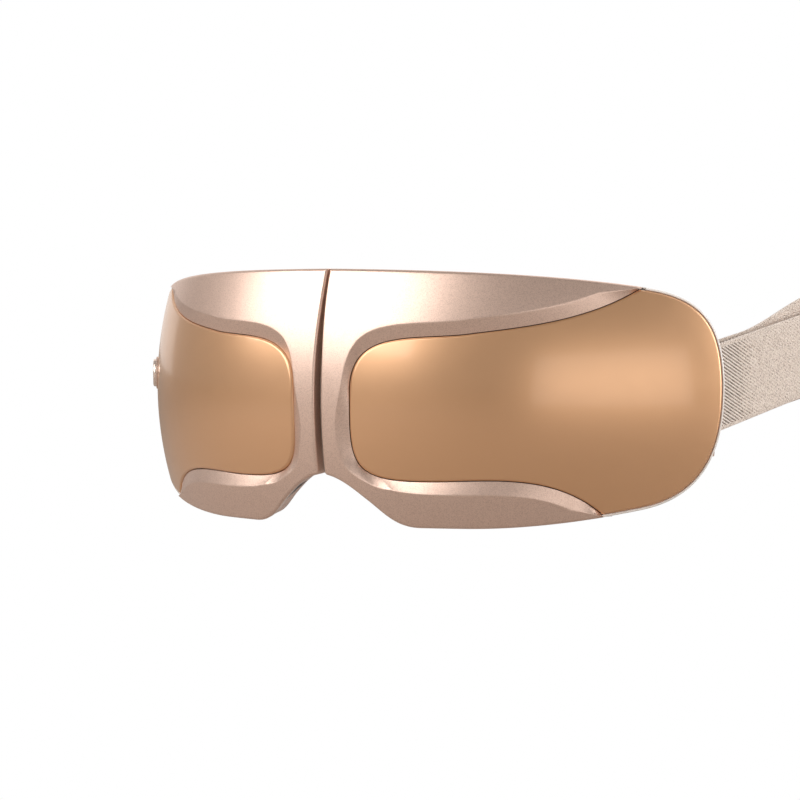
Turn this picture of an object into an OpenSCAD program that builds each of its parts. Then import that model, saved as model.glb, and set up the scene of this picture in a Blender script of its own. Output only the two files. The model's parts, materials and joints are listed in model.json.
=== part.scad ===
// Folding eye massager mask: two curved halves on a bridge hinge, worn with an elastic head strap.
// X runs to the wearer's left wing, Y from the lens side to the wearer, Z up.
// Every half-mask piece is drawn for the +X half and mirrored for the other.

/* [Mask front] */
// Height of the mask from the cheek lobes to the brow edge
mask_h = 78.5; // [77:0.5:81]
// Reach of one half, measured square to the direction that the half faces
reach = 124; // [122:0.5:126]
// Radius of the curved lens surface in plan and in height
wrap_r = 118.4; // [117:0.2:120]
// Half of the gap between the two halves at the bridge
seam = 1.1; // [0.8:0.1:1.4]
// Depth of the rigid body at the bridge
bridge_depth = 24; // [23:0.5:25]
// Thickness of the face cushion at the bridge
cushion_t = 12; // [10:0.5:12]

/* [Fold] */
// How far the left half folds behind the right half, degrees
fold_max = 100; // [90:5:100]
// Distance from the lens side to the hinge axis
hinge_y = 20; // [19.5:0.5:20.5]
// Radius of the hinge pin
pin_r = 1.25; // [1.1:0.05:1.3]

/* [Power button] */
// Radius of the button cap
button_r = 4.6; // [4:0.1:5]
// Height of the cap above the lens
button_h = 1.4; // [1:0.1:1.8]

/* [Strap] */
// Width of the elastic webbing
strap_w = 27.5; // [24:0.5:28]
// Thickness of the webbing
strap_t = 1.6; // [1.2:0.1:1.8]
// Distance from the lens side to the back of the strap loop
strap_back = 230; // [224:1:236]

/* [Hidden] */
$fn = 160;

// The frame's origin: where the mask meets the wearer's face, midway between the eyes.
mid_z = 39.6;
face_y = bridge_depth + cushion_t;
// Each half faces this many degrees outward, and the nose arch widens by this angle towards the face.
aim = 35;
flare = 25;
far = 160;
steps = 8;

// The lens sphere's centre, and the frame's smaller sphere, which stands proud only near the bridge.
lens_cy = 120;
frame_r = 117.2;
lens_t = 1.8;
frame_in = wrap_r - 2.2;
carrier_out = wrap_r - 2.4;
carrier_t = 2;
trim_t = 1.2;
trim_in = carrier_out - carrier_t - 0.2;
wall = 1.8;
cover_t = 2;
// The wearer's side is flatter than the lens, so each half thins towards its outer end.
rear_r = 121.2;
rear_cy = bridge_depth + rear_r;
cushion_r = 125;
cushion_cy = face_y + cushion_r;
play = 0.1;

// Eye opening in the cushion, and the smaller window in the rear cover behind it.
eye_u = 52;
eye_z = 38;
eye_a = 27;
eye_b = 17;
window_a = 22;
window_b = 13;

// Hinge knuckles, from the lowest up.
knuckle_r = 3.2;
knuckle_h = 9.2;
knuckle_n = 5;
knuckle_z = 24;
leaf_t = 1.2;
leaf_w = 12;
barrel_clear = knuckle_r + 0.5;

// Power button, on the left half's outer end.
button_t = 55;
button_z = 43.5;
ring_t = 0.7;
slide_fit = 0.08;

// Strap bar, behind the outer end of each half.
bar = [88.2, 77.2];
bar_r = 1.5;
bar_z = 39.3;
bar_len = 38;
lug_h = 3;
lug_gap = strap_w + 4;
loop_in = bar_r + 0.4;
loop_mid = loop_in + strap_t / 2;

// Plan of the strap loop: a straight side run, a corner arc and a flatter back arc.
corner_r = 40;
back_r = 195;
back_turn = 19;
corner_c = [0, strap_back - back_r] + (back_r - corner_r) * [sin(back_turn), cos(back_turn)];
to_bar = bar - corner_c;
run_turn = atan2(to_bar[1], to_bar[0]) + acos((corner_r - loop_mid) / norm(to_bar));
run_n = [cos(run_turn), sin(run_turn)];
run_d = [-sin(run_turn), cos(run_turn)];
run_start = bar + loop_mid * run_n;
run_len = sqrt(pow(norm(to_bar), 2) - pow(corner_r - loop_mid, 2));
corner_turn = 90 - back_turn - run_turn;
corner_len = corner_r * corner_turn * PI / 180;
back_len = back_r * back_turn * PI / 180;
half_len = run_len + corner_len + back_len;
end_gap = 0.7;
// The strap climbs over the ears, levels out around the corner and drops again at the back of the head.
climb = 0.13;
level_len = 28;
back_drop = 22;
back_span = 110;

// Slider, and the return layer that runs back to it inside the side run.
slider_s = 102;
slider_len = 15;
slider_wall = 1.5;
return_t = strap_t - 0.2;
return_w = strap_w - 1;
return_start = sqrt(pow(loop_in + strap_t, 2) - pow(loop_mid - return_t / 2, 2)) + play;
return_gap = 2.2;
return_lift = 5.5;
return_level = 40;

// ---------- curves ----------
function bezier(p) = [for (i = [0:steps - 1]) let (t = i / steps)
    pow(1 - t, 3) * p[0] + 3 * pow(1 - t, 2) * t * p[1] + 3 * (1 - t) * t * t * p[2] + pow(t, 3) * p[3]];

function inset(p, d) = let (n = len(p)) [for (i = [0:n - 1])
    let (t = p[(i + 1) % n] - p[(i + n - 1) % n]) p[i] + d * [-t[1], t[0]] / norm(t)];

function ellipse(a, b, c) = [for (i = [0:47]) c + [a * cos(i * 7.5), b * sin(i * 7.5)]];

function smooth(t) = let (k = min(max(t, 0), 1)) k * k * (3 - 2 * k);

// Outline of one half, square to the direction that it faces: brow, outer end, cheek.
function outline(r) = concat(
    [[-15, 0]],
    bezier([[45, 0], [62, 0], [r - 42, 2.5], [r - 25.5, 5.5]]),
    bezier([[r - 25.5, 5.5], [r - 7, 9], [r, 22], [r, 42]]),
    bezier([[r, 42], [r, 60], [r - 5, mask_h - 9], [r - 24, mask_h - 5.9]]),
    bezier([[r - 24, mask_h - 5.9], [74, mask_h - 2], [40, mask_h], [-15, mask_h]]),
    [[-15, mask_h]]);

// Edge between the metal frame and the lens. It runs off the outer end of the half.
function lens_edge() = concat(
    bezier([[9.6, 41], [9.6, 19], [10, 13.9], [32, 14.1]]),
    bezier([[32, 14.1], [50, 14.1], [71, 18.5], [88, 2]]),
    [[88, 2], [95.5, -5.5], [reach + 6, -6], [reach + 6, mask_h + 6], [108, mask_h + 2]],
    bezier([[101, 74.6], [84, 64.6], [70, 62], [47, 59.3]]),
    bezier([[47, 59.3], [30, 56.5], [9.6, 61.8], [9.6, 41]]));

// Half of the nose arch, which is cut out of each half.
function nose_arch() = concat(
    [[-12, -6], [26, -6]],
    bezier([[22, 0], [16.5, 0], [14.6, 4], [11.4, 7.6]]),
    bezier([[11.4, 7.6], [7.5, 11.7], [4, 15.6], [-2, 16]]),
    [[-2, 16], [-12, 16]]);

// Depth along the facing direction at which a sphere centred at [0, cy] is met at u, z.
function depth_at(cy, r, u, z) = cy * cos(aim) - sqrt(r * r - pow(u - cy * sin(aim), 2) - pow(z - mid_z, 2));

// Direction that the strap's outer face looks in, as an angle, at arc length s from the bar.
function strap_turn(s) = s < run_len ? run_turn
    : s < run_len + corner_len ? run_turn + (s - run_len) / corner_r * 180 / PI
    : 90 - (half_len - s) / back_r * 180 / PI;
function strap_normal(s) = [cos(strap_turn(s)), sin(strap_turn(s)), 0];

// Centreline of the strap at arc length s, with the height of its middle.
function strap_z(s) = let (run = min(s, run_len), over = min(max(s - run_len, 0), level_len))
    bar_z + climb * (run + over - over * over / (2 * level_len))
    - back_drop * (1 - smooth((half_len - s) / back_span));
function strap_plan(s) = s < run_len ? run_start + s * run_d
    : s < run_len + corner_len ? corner_c + corner_r * [cos(strap_turn(s)), sin(strap_turn(s))]
    : [0, strap_back - back_r] + back_r * [cos(strap_turn(s)), sin(strap_turn(s))];
function strap_point(s) = [strap_plan(s)[0], strap_plan(s)[1], strap_z(s)];

// ---------- helpers ----------
module right_half() translate([0, -face_y, -mid_z]) children();
module left_half() right_half() mirror([1, 0, 0]) children();
module ball(cy, r) translate([0, cy, mid_z]) sphere(r = r);
module prism(pts, turn) rotate([0, 0, turn]) translate([0, far, 0]) rotate([90, 0, 0])
    linear_extrude(height = 2 * far) polygon(pts);
module along(u, z, w) rotate([0, 0, aim]) translate([u, w, z]) rotate([-90, 0, 0]) children();
module at_wall(t, z, r) translate([0, lens_cy, z]) rotate([0, 0, t]) translate([0, -r, 0]) children();

// Plan of the space that one half may fill: its side of the seam, and ahead of the fold's bisector.
module sector(gap) {
    x0 = seam + gap;
    slope = tan(fold_max / 2);
    y0 = hinge_y - gap;
    translate([0, 0, -far / 4]) linear_extrude(height = far)
        polygon([[x0, -20], [far, -20], [far, y0 + (far - x0) / slope], [x0, y0]]);
}

// Trims children to one half's outline, held back by gap all round.
module half_body(gap, r = reach) {
    difference() {
        intersection() {
            children();
            prism(inset(outline(r), gap), aim);
            sector(gap);
        }
        prism(inset(nose_arch(), -gap), -flare);
    }
}

module shell(cy, r_out, r_in) difference() {
    ball(cy, r_out);
    ball(cy, r_in);
}

// Everything between the wearer's side and a lens-side sphere.
module core(r_out, r_back) difference() {
    ball(lens_cy, r_out);
    ball(rear_cy, r_back);
}

module barrel_cut() translate([0, hinge_y, -5]) cylinder(r = barrel_clear, h = mask_h + 10);
module button_bore(r) at_wall(button_t, button_z, wrap_r + 6) rotate([-90, 0, 0]) cylinder(r = r, h = 16);

// Four screw places, just inside the outline.
boss_inset = 4.4;
boss_r = 2.8;
screw_r = 0.9;
head_r = 1.9;
head_h = 0.65;
head_sink = 0.75;
boss_points = [for (i = [3, 12, 21, 29]) inset(outline(reach), boss_inset)[i]];
module at_bosses() for (p = boss_points) along(p[0], p[1], depth_at(rear_cy, rear_r, p[0], p[1])) children();

// ---------- shells ----------
module front_frame() color("#cfa893") difference() {
    half_body(0) difference() {
        ball(frame_r, frame_r);
        ball(lens_cy, frame_in);
    }
    prism(lens_edge(), aim);
}

module lens(button = false) color("#b98a62") difference() {
    intersection() {
        half_body(0.6) shell(lens_cy, wrap_r, wrap_r - lens_t);
        prism(inset(lens_edge(), 0.25), aim);
    }
    if (button) button_bore(button_r + ring_t + slide_fit + play);
}

module edge_trim() color("#ead9cd") difference() {
    half_body(0) shell(lens_cy, carrier_out, trim_in);
    half_body(trim_t) shell(lens_cy, carrier_out + 2, trim_in - 2);
}

module lens_carrier(button = false) color("#3b2c26") difference() {
    half_body(trim_t + play) shell(lens_cy, carrier_out, carrier_out - carrier_t);
    if (button) button_bore(button_r + ring_t + slide_fit + play);
}

module housing(socket = false) color("#a98472") difference() {
    union() {
        difference() {
            half_body(0.2) core(trim_in - 0.1, rear_r + cover_t + play);
            half_body(0.2 + wall) core(trim_in + 1, rear_r + cover_t - 1);
        }
        intersection() {
            half_body(0.4) core(trim_in - 0.3, rear_r + cover_t + play);
            at_bosses() cylinder(r = boss_r, h = 40, center = true);
        }
    }
    barrel_cut();
    translate([0, hinge_y - 1.1, knuckle_z - 1]) cube([leaf_w + 3, 2.2, knuckle_n * knuckle_h + 2]);
    at_bosses() cylinder(r = screw_r + 0.05, h = 9);
    at_bosses() translate([0, 0, -9]) cylinder(r = screw_r + 0.05, h = 9);
    if (socket) socket_place() translate([0, 0, -6])
        cube([socket_w + 3 * play, socket_t + 3 * play, 14], center = true);
}

module rear_cover() color("#8d6f62") difference() {
    half_body(0.2) shell(rear_cy, rear_r + cover_t, rear_r);
    prism(ellipse(window_a, window_b, [eye_u, eye_z]), aim);
    barrel_cut();
    at_bosses() translate([0, 0, -9]) cylinder(r = screw_r + 0.05, h = 18);
    at_bosses() translate([0, 0, -head_h - head_sink]) cylinder(r = head_r + play, h = 9);
}

module cover_screws() color("#d0d0d0") at_bosses() {
    translate([0, 0, -head_h - head_sink]) cylinder(r = head_r, h = head_h);
    translate([0, 0, -7]) cylinder(r = screw_r, h = 7 - head_h - head_sink + 0.05);
}

// ---------- wearer's side ----------
module face_cushion() color("#4a3a36") difference() {
    half_body(3.5, reach - 18) difference() {
        ball(rear_cy, rear_r - play);
        ball(cushion_cy, cushion_r);
    }
    prism(ellipse(eye_a, eye_b, [eye_u, eye_z]), aim);
}

module eye_pad() color("#6a5550") intersection() {
    shell(rear_cy, rear_r - 0.3, rear_r - 2.8);
    prism(ellipse(eye_a - 0.6, eye_b - 0.6, [eye_u, eye_z]), aim);
    sector(0);
}

module heating_film() color("#c8742c") intersection() {
    shell(rear_cy, rear_r + 0.5, rear_r - 0.2);
    prism(ellipse(window_a - 0.5, window_b - 0.5, [eye_u, eye_z]), aim);
    sector(0);
}

module airbag() color("#d9d2c8") intersection() {
    shell(rear_cy, rear_r + 6.5, rear_r + 0.6);
    prism(ellipse(window_a - 1, window_b - 1, [eye_u, eye_z]), aim);
    sector(0);
}

// ---------- inner parts ----------
pump_t = 14;
pump_z = 63;
pump_r = 104;
module air_pump() color("#e8e8e0") at_wall(pump_t, pump_z, pump_r) translate([-9, -5, -6]) cube([9, 10, 12]);
module pump_motor() color("#b8bcc0") at_wall(pump_t, pump_z, pump_r) translate([0.2, 0, 0])
    rotate([0, 90, 0]) cylinder(r = 4.6, h = 13, $fn = 48);
module air_valve() color("#30343a") at_wall(26, pump_z, pump_r + 1) translate([-4, -3.5, -4]) cube([8, 7, 8]);
module air_hose() color("#f0f0ea") at_wall(pump_t, pump_z, pump_r) translate([-4.5, 0, -9.8])
    difference() {
        cylinder(r = 1.5, h = 3.6, $fn = 32);
        translate([0, 0, -1]) cylinder(r = 0.8, h = 6, $fn = 32);
    }

// Vibration motor: the can stands still and its shaft turns an eccentric weight.
motor_t = 22;
motor_z = 12.5;
motor_r = 102.5;
shaft_r = 0.5;
module motor_place() at_wall(motor_t, motor_z, motor_r) rotate([0, 90, 0]) children();
module vibration_motor() color("#c2c6ca") motor_place() difference() {
    translate([0, 0, -6]) cylinder(r = 3.1, h = 10, $fn = 48);
    translate([0, 0, -1]) cylinder(r = shaft_r + 0.05, h = 6, $fn = 32);
}
module motor_shaft() color("#e4e6e8") motor_place() cylinder(r = shaft_r, h = 9, $fn = 32);
module motor_weight() color("#8f8a80") motor_place() translate([0, 0, 4.8]) difference() {
    cylinder(r = 2.7, h = 3.6, $fn = 48);
    translate([-4, 0.9, -1]) cube([8, 4, 6]);
    translate([0, 0, -1]) cylinder(r = shaft_r + 0.02, h = 6, $fn = 32);
}

module speaker() color("#3d4046") at_wall(50, 56, 110.6) rotate([-90, 0, 0])
    cylinder(r = 5.5, h = 3.2, $fn = 64);
module main_board() color("#2f6b4a") at_wall(33, 38, 109.5) translate([-17, -0.6, -14]) cube([34, 1.2, 28]);
module battery() color("#5b6f8c") at_wall(39, 13.5, 104.5) translate([-14, -2.5, -6.5]) cube([28, 5, 13]);

// Charging socket: it opens downward through the cheek edge of the right half.
socket_w = 9;
socket_t = 3.3;
module socket_place() at_wall(44, 6.5, 103.5) children();
module charge_socket() color("#bfc2c6") socket_place() difference() {
    cube([socket_w, socket_t, 7], center = true);
    translate([0, 0, -1.2]) cube([socket_w - 0.7, socket_t - 0.7, 7], center = true);
}

// ---------- power button ----------
module button_place() at_wall(button_t, button_z, wrap_r) rotate([-90, 0, 0]) children();
cap_t = button_h + 1.2;
module power_button() color("#d8b8a4") button_place() {
    translate([0, 0, -button_h]) cylinder(r = button_r, h = cap_t);
    translate([0, 0, cap_t - button_h - 0.1]) cylinder(r = 1.6, h = 4.6);
}
module button_ring() color("#7a5b4b") button_place() translate([0, 0, -0.4]) difference() {
    cylinder(r = button_r + ring_t, h = 3.6);
    translate([0, 0, -1]) cylinder(r = button_r + slide_fit, h = 6);
}
module tact_switch() color("#26282c") button_place() translate([-3, -3, 6.6]) cube([6, 6, 1.7]);

// ---------- hinge ----------
module hinge_leaf(first) color("#b9bcc2") translate([0, hinge_y, knuckle_z]) {
    difference() {
        union() {
            for (i = [first:2:knuckle_n - 1]) translate([0, 0, i * knuckle_h + 0.15]) {
                cylinder(r = knuckle_r, h = knuckle_h - 0.3, $fn = 64);
                translate([0, -leaf_t / 2, 0]) cube([leaf_w / 2, leaf_t, knuckle_h - 0.3]);
            }
            translate([barrel_clear + 0.4, -leaf_t / 2, 0.15])
                cube([leaf_w - barrel_clear, leaf_t, knuckle_n * knuckle_h - 0.3]);
        }
        translate([0, 0, -1]) cylinder(r = pin_r + 0.05, h = knuckle_n * knuckle_h + 2, $fn = 64);
    }
}
module hinge_pin() color("#d9dadd") translate([0, hinge_y, knuckle_z - 1.5]) {
    cylinder(r = pin_r, h = knuckle_n * knuckle_h + 3, $fn = 64);
    cylinder(r = pin_r + 0.7, h = 1.3, $fn = 64);
}

// ---------- strap hardware ----------
module strap_bar() color("#d9c0b0") translate([bar[0], bar[1], bar_z - bar_len / 2])
    cylinder(r = bar_r, h = bar_len, $fn = 64);

module strap_anchor() color("#9b7a6a") difference() {
    bar_turn = atan2(bar[0], lens_cy - bar[1]);
    bar_rho = norm([bar[0], lens_cy - bar[1]]);
    plate_h = lug_gap / 2 + lug_h;
    plate = [[104, bar_z - plate_h], [reach - 6.4, bar_z - plate_h], [reach - 6.4, bar_z + plate_h],
        [104, bar_z + plate_h]];
    union() {
        intersection() {
            shell(rear_cy, rear_r - play, rear_r - 1.4);
            prism(plate, aim);
            translate([40, 0, 0]) cube([far, far, far]);
        }
        intersection() {
            ball(rear_cy, rear_r - 0.6);
            for (s = [-1, 1]) at_wall(bar_turn, bar_z + s * (lug_gap + lug_h) / 2, bar_rho)
                translate([-2.6, -12, -lug_h / 2]) cube([5.2, 14.6, lug_h]);
        }
    }
    translate([bar[0], bar[1], 0]) cylinder(r = bar_r + 0.03, h = mask_h, $fn = 64);
}

// ---------- strap ----------
// A flat upright band through the points of path, t thick along normal and w wide.
module band(path, normal, t, w) {
    n = len(path);
    side = normal * t / 2;
    up = [0, 0, w / 2];
    walls = [for (i = [0:n - 2], k = [0:3])
        let (a = 4 * i + k, b = 4 * i + (k + 1) % 4) [a, b, b + 4, a + 4]];
    ends = [[3, 2, 1, 0], [4 * n - 4, 4 * n - 3, 4 * n - 2, 4 * n - 1]];
    polyhedron(points = [for (p = path) each [p - side - up, p + side - up, p + side + up, p - side + up]],
        faces = concat(walls, ends), convexity = 4);
}

module strap_loop() translate([bar[0], bar[1], 0]) difference() {
    cylinder(r = loop_in + strap_t, h = 2 * mask_h, $fn = 64);
    translate([0, 0, -1]) cylinder(r = loop_in, h = 2 * mask_h + 2, $fn = 64);
}

// A band of height strap_w around a line drawn in a vertical plane, raised to h square to that plane.
module tall_strip(line, h) linear_extrude(height = h) polygon(concat(
    [for (p = line) p - [0, strap_w / 2]],
    [for (i = [len(line) - 1:-1:0]) line[i] + [0, strap_w / 2]]));

// The strap's plan, with the loop around the bar, raised to more than its height.
stations = concat([0], [for (i = [0:24]) run_len + (half_len - end_gap - run_len) * i / 24]);
function strap_side(s, d) = strap_plan(s) + d * [cos(strap_turn(s)), sin(strap_turn(s))];
module strap_outline() {
    linear_extrude(height = 2 * mask_h) polygon(concat(
        [for (s = stations) strap_side(s, strap_t / 2)],
        [for (i = [len(stations) - 1:-1:0]) strap_side(stations[i], -strap_t / 2)]));
    strap_loop();
}

// Its height: a climbing straight band beside the head, and a dipping band behind it.
module strap_heights() {
    run_end = strap_point(run_len);
    side = [[run_start[1] - 10, bar_z], [run_start[1], bar_z], [run_end[1], run_end[2]]];
    rear = [for (s = stations) if (s >= run_len) [strap_plan(s)[0], strap_z(s)]];
    rotate([90, 0, 90]) tall_strip(side, far);
    translate([0, far * 2, 0]) rotate([90, 0, 0])
        tall_strip(concat([[far, run_end[2]]], rear, [[-5, strap_z(half_len)]]), 2 * far - run_end[1]);
}

module strap() color("#dcc6b6") intersection() {
    strap_outline();
    strap_heights();
}

// The return layer closes up to the outer run and rises above it on the way to the slider.
slider_from = slider_s - slider_len / 2;
function return_off(s) = 2 * loop_mid + (return_gap - 2 * loop_mid) * smooth(s / slider_from);
function return_rise(s) = return_lift * smooth((s - return_level) / (slider_from - return_level));
module strap_return() color("#d2b9a8") band(
    [for (i = [0:24]) let (s = return_start + (slider_s - return_start) * i / 24)
        strap_point(s) - return_off(s) * strap_normal(s) + [0, 0, return_rise(s)]],
    strap_normal(0), return_t, return_w);

// Slider: a flat three-bar buckle around both layers of the webbing.
module slider_place() translate(strap_point(slider_s)) rotate([0, 0, run_turn + 90])
    rotate([0, -atan(climb), 0]) children();
module strap_slider() color("#c9a893") slider_place() {
    clear = 0.8;
    z_low = -strap_w / 2 - clear;
    clear_w = return_w / 2 + return_lift + clear - z_low;
    y_in = return_gap + return_t / 2 + clear;
    y_out = -strap_t / 2 - clear;
    rail = 2.4;
    difference() {
        translate([-slider_len / 2, y_out - slider_wall, z_low - rail])
            cube([slider_len, y_in - y_out + 2 * slider_wall, clear_w + 2 * rail]);
        translate([-slider_len, y_out, z_low]) cube([2 * slider_len, y_in - y_out, clear_w]);
        for (s = [-1, 1]) translate([s * slider_len / 4 - 2.1, y_out - 5, z_low]) cube([4.2, 20, clear_w]);
    }
}

// ---------- assembly ----------
right_half() front_frame();  // front_frame_right
left_half() front_frame();  // front_frame_left
right_half() lens();  // lens_right
left_half() lens(button = true);  // lens_left
right_half() edge_trim();  // edge_trim_right
left_half() edge_trim();  // edge_trim_left
right_half() lens_carrier();  // lens_carrier_right
left_half() lens_carrier(button = true);  // lens_carrier_left
right_half() housing(socket = true);  // housing_right
left_half() housing();  // housing_left
right_half() rear_cover();  // rear_cover_right
left_half() rear_cover();  // rear_cover_left
right_half() face_cushion();  // face_cushion_right
left_half() face_cushion();  // face_cushion_left
right_half() eye_pad();  // eye_pad_right
left_half() eye_pad();  // eye_pad_left
right_half() heating_film();  // heating_film_right
left_half() heating_film();  // heating_film_left
right_half() airbag();  // airbag_right
left_half() airbag();  // airbag_left
right_half() air_pump();  // air_pump_right
left_half() air_pump();  // air_pump_left
right_half() pump_motor();  // pump_motor_right
left_half() pump_motor();  // pump_motor_left
right_half() air_valve();  // air_valve_right
left_half() air_valve();  // air_valve_left
right_half() air_hose();  // air_hose_right
left_half() air_hose();  // air_hose_left
right_half() vibration_motor();  // vibration_motor_right
left_half() vibration_motor();  // vibration_motor_left
right_half() motor_shaft();  // motor_shaft_right
left_half() motor_shaft();  // motor_shaft_left
right_half() motor_weight();  // motor_weight_right
left_half() motor_weight();  // motor_weight_left
right_half() speaker();  // speaker_right
left_half() speaker();  // speaker_left
right_half() hinge_leaf(0);  // hinge_leaf_right
left_half() hinge_leaf(1);  // hinge_leaf_left
right_half() hinge_pin();
right_half() strap_anchor();  // strap_anchor_right
left_half() strap_anchor();  // strap_anchor_left
right_half() strap_bar();  // strap_bar_right
left_half() strap_bar();  // strap_bar_left
right_half() cover_screws();  // cover_screws_right
left_half() cover_screws();  // cover_screws_left
right_half() main_board();
right_half() charge_socket();
left_half() battery();
left_half() tact_switch();
left_half() button_ring();
left_half() power_button();
right_half() strap();  // strap_right
left_half() strap();  // strap_left
right_half() strap_return();
right_half() strap_slider();
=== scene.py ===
import json
import math

import bmesh
import bpy
import numpy as np
from mathutils import Matrix, Vector


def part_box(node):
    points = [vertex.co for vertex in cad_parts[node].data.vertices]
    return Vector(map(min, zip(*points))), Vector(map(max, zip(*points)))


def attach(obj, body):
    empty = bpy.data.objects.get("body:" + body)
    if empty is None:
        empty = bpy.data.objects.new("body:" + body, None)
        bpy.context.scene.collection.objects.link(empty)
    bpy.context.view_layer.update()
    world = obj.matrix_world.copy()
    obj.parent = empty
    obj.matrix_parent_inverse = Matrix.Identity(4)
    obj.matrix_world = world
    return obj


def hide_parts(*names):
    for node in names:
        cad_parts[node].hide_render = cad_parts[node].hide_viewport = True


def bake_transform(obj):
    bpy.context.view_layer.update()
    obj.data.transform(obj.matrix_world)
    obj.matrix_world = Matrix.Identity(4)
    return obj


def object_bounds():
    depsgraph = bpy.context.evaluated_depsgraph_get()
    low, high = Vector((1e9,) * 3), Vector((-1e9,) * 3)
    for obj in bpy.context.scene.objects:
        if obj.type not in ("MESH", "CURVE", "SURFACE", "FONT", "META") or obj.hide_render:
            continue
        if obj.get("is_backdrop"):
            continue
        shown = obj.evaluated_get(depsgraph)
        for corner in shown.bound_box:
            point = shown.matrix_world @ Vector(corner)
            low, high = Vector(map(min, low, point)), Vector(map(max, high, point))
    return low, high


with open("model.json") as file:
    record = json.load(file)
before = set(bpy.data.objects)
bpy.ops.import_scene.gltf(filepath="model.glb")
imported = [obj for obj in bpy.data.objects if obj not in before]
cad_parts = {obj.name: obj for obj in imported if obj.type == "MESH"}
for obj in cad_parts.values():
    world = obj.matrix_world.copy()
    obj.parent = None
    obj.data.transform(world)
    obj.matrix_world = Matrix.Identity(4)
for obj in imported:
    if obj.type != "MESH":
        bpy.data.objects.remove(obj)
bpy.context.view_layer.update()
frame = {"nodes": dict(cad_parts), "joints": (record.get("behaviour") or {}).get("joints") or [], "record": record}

JOINTS = {j["name"]: j for j in frame["joints"]}

# ---------------------------------------------------------------- sizes
# The shells are drawn in millimetres: X outward, Y from the lens side to the wearer, Z up from the lobes.
MM = 0.001
LOW_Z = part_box("front_frame_right")[0].z
MID_Z = -LOW_Z / MM
HINGE_Y = 20.0
FACE_Y = HINGE_Y - JOINTS["fold"]["pos_m"][1] / MM
FOLD_MAX = JOINTS["fold"]["range_deg"][1]
TAN_FOLD = math.tan(math.radians(FOLD_MAX / 2))

MASK_H = 78.5
REACH = 124.0
AIM = math.radians(35)
FLARE = math.radians(25)
SEAM = 1.1
LENS_C, LENS_R = 120.0, 118.4
FRAME_C, FRAME_R = 117.2, 117.2
CARRIER_R = 116.0
WALL_R = 113.7
REAR_C, REAR_R = 145.2, 121.2
CUSHION_C, CUSHION_R = 161.0, 125.0
EYE = (52.0, 38.0, 27.0, 17.0)
BEVEL_W = 4.4
LENS_GAP = 0.28
LENS_INSET = 1.0
LENS_T = 1.8
CHAMFER = 0.5
CHAMFER_DEPTH = 0.36
EDGE_R = 0.9
LIP = 0.5
PLATE_T = 1.9


# ---------------------------------------------------------------- curves
def bezier(p0, p1, p2, p3, n=60):
    t = np.linspace(0, 1, n, endpoint=False)[:, None]
    p = [np.array(q, float) for q in (p0, p1, p2, p3)]
    return (1 - t) ** 3 * p[0] + 3 * (1 - t) ** 2 * t * p[1] + 3 * (1 - t) * t * t * p[2] + t ** 3 * p[3]


def smooth(t):
    t = np.clip(t, 0, 1)
    return t * t * (3 - 2 * t)


def resample(points, n, closed=False):
    """n points at equal steps along a polyline."""
    p = np.asarray(points, float)
    if closed:
        p = np.vstack([p, p[:1]])
    run = np.concatenate([[0], np.cumsum(np.linalg.norm(np.diff(p, axis=0), axis=1))])
    at = np.linspace(0, run[-1], n, endpoint=not closed)
    return np.stack([np.interp(at, run, p[:, k]) for k in range(p.shape[1])], 1)


def outline(reach=REACH):
    """Half outline in (u, z), square to the half's facing direction: brow, outer end, cheek."""
    r, h = reach, MASK_H
    return np.vstack([
        bezier((-15, h), (40, h), (74, h - 2), (r - 24, h - 5.9)),
        bezier((r - 24, h - 5.9), (r - 5, h - 9), (r, 60), (r, 42)),
        bezier((r, 42), (r, 22), (r - 7, 9), (r - 25.5, 5.5)),
        bezier((r - 25.5, 5.5), (r - 42, 2.5), (62, 0), (45, 0)),
        bezier((45, 0), (35, 0), (20, 0), (5, 0))])


def lens_edge():
    """Edge between frame and lens in (u, z), from past the top tip round the inner end to past the low tip."""
    return np.vstack([
        bezier((106, 78), (104.4, 76.9), (102.8, 75.8), (101, 74.6), 8),
        bezier((101, 74.6), (84, 64.6), (70, 62), (47, 59.3)),
        bezier((47, 59.3), (30, 56.5), (9.6, 61.8), (9.6, 41)),
        bezier((9.6, 41), (9.6, 19), (10, 13.9), (32, 14.1)),
        bezier((32, 14.1), (50, 14.1), (71, 18.5), (88, 2)),
        bezier((88, 2), (89.2, 0.9), (90.6, -0.4), (92, -1.7), 8)])


def nose_arch():
    """Nose arch in (v, z), from the cheek lobe up to the seam."""
    return np.vstack([
        bezier((22, 0), (16.5, 0), (14.6, 4), (11.4, 7.6)),
        bezier((11.4, 7.6), (7.5, 11.7), (4, 15.6), (-2, 16)), [(-2, 16)]])


def on_sphere(s, z, centre, r, turn):
    """Point of a sphere whose distance along the axis turned by turn is s, at height z."""
    ring = np.sqrt(r * r - (z - MID_Z) ** 2)
    a = np.arcsin(np.clip((s - centre * math.sin(turn)) / ring, -1, 1)) + turn
    return np.stack([ring * np.sin(a), centre - ring * np.cos(a), z], 1)


def facing(points, centre, r):
    points = np.asarray(points, float)
    return on_sphere(points[:, 0], points[:, 1], centre, r, AIM)


def flat(points):
    """(u, z) of 3-D points."""
    return np.stack([points[:, 0] * math.cos(AIM) + points[:, 1] * math.sin(AIM), points[:, 2]], 1)


def seam_half(z):
    """Half of the gap at the seam: it closes towards the brow."""
    return 0.42 + 0.76 * smooth((77 - np.asarray(z, float)) / 34)


def seam_x(y, z, narrow=True):
    gap = seam_half(z) if narrow else SEAM
    return gap + np.maximum(0, y - HINGE_Y) * TAN_FOLD


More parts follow.
